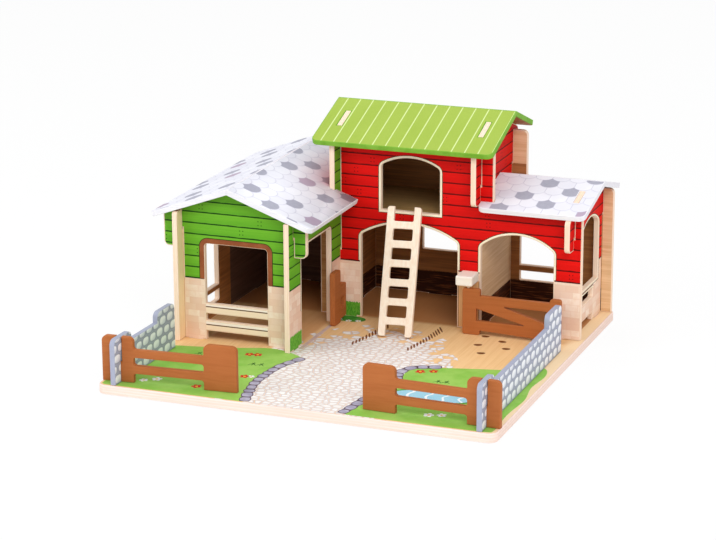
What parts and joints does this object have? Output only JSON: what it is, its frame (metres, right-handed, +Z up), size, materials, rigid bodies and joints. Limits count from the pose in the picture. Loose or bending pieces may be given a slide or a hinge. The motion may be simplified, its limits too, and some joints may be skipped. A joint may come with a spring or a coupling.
{
  "type": "toy barn with opening doors",
  "caption": "Wooden toy farmyard of slotted printed boards on a base board, with swinging gates, lift-off roofs, a ladder, fences and stone walls.",
  "frame": {"origin": "centre of the base board's underside", "axes": "+Z up; +X to the right and +Y to the back, seen from the fence side in front"},
  "size_m": [0.464, 0.4638, 0.2547],
  "materials": {
    "base_print": "printed satin",
    "stable_print": "printed satin",
    "stable_side_print": "printed satin",
    "middle_print": "printed satin",
    "barn_front_print": "printed satin",
    "barn_side_print": "printed satin",
    "lean_to_print": "printed satin",
    "back_print": "printed satin",
    "loft_wood": "sanded bare wood",
    "barn_roof_print": "printed satin",
    "lean_to_roof_print": "printed satin",
    "stable_roof_print": "printed satin",
    "batten_wood": "sanded bare wood",
    "block_wood": "sanded bare wood",
    "gate_print": "printed satin",
    "dowel_wood": "sanded bare wood",
    "ladder_wood": "sanded bare wood",
    "fence_print": "printed satin",
    "stone_print": "printed satin"
  },
  "bodies": {
    "farmstead": {"base_board": "base_print", "stable_front_panel": "stable_print", "stable_side_panel": "stable_side_print", "middle_wall": "middle_print", "barn_front_panel": "barn_front_print", "barn_side_panel": "barn_side_print", "lean_to_side_panel": "lean_to_print", "back_panel": "back_print", "loft_floor": "loft_wood", "gate_hinge_block": "block_wood"},
    "gate": {"gate": "gate_print", "gate_pins": "dowel_wood"},
    "stable_gate": {"stable_gate": "gate_print", "stable_gate_pin": "dowel_wood"},
    "barn_roof": {"barn_roof_front": "barn_roof_print", "barn_roof_rear": "barn_roof_print", "barn_roof_batten": "batten_wood"},
    "lean_to_roof": {"lean_to_roof_front": "lean_to_roof_print", "lean_to_roof_rear": "lean_to_roof_print", "lean_to_roof_batten": "batten_wood"},
    "stable_roof": {"stable_roof_left": "stable_roof_print", "stable_roof_right": "stable_roof_print", "stable_roof_batten": "batten_wood"},
    "ladder": {"ladder": "ladder_wood"},
    "left_enclosure": {"left_fence": "fence_print", "left_stone_wall": "stone_print"},
    "right_enclosure": {"right_fence": "fence_print", "right_stone_wall": "stone_print"}
  },
  "joints": [
    {"name": "gate_hinge", "type": "hinge", "parent": "farmstead", "child": "gate", "pos_m": [0.0923, 0.0807, 0.036], "axis": [0, 0, 1], "range_deg": [-105, 0]},
    {"name": "stable_gate_hinge", "type": "hinge", "parent": "farmstead", "child": "stable_gate", "pos_m": [-0.062, 0.0605, 0.036], "axis": [0, 0, 1], "range_deg": [-180, 0]},
    {"name": "barn_roof_lift", "type": "slide", "parent": "farmstead", "child": "barn_roof", "axis": [0, 0, 1], "range_m": [0, 0.06]},
    {"name": "lean_to_roof_lift", "type": "slide", "parent": "farmstead", "child": "lean_to_roof", "axis": [0, 0, 1], "range_m": [0, 0.03]},
    {"name": "stable_roof_lift", "type": "slide", "parent": "farmstead", "child": "stable_roof", "axis": [0, 0, 1], "range_m": [0, 0.035]},
    {"name": "ladder_lift", "type": "slide", "parent": "farmstead", "child": "ladder", "axis": [0, 0, 1], "range_m": [0, 0.035]},
    {"name": "left_enclosure_lift", "type": "slide", "parent": "farmstead", "child": "left_enclosure", "axis": [0, 0, 1], "range_m": [0, 0.05]},
    {"name": "right_enclosure_lift", "type": "slide", "parent": "farmstead", "child": "right_enclosure", "axis": [0, 0, 1], "range_m": [0, 0.05]}
  ]
}
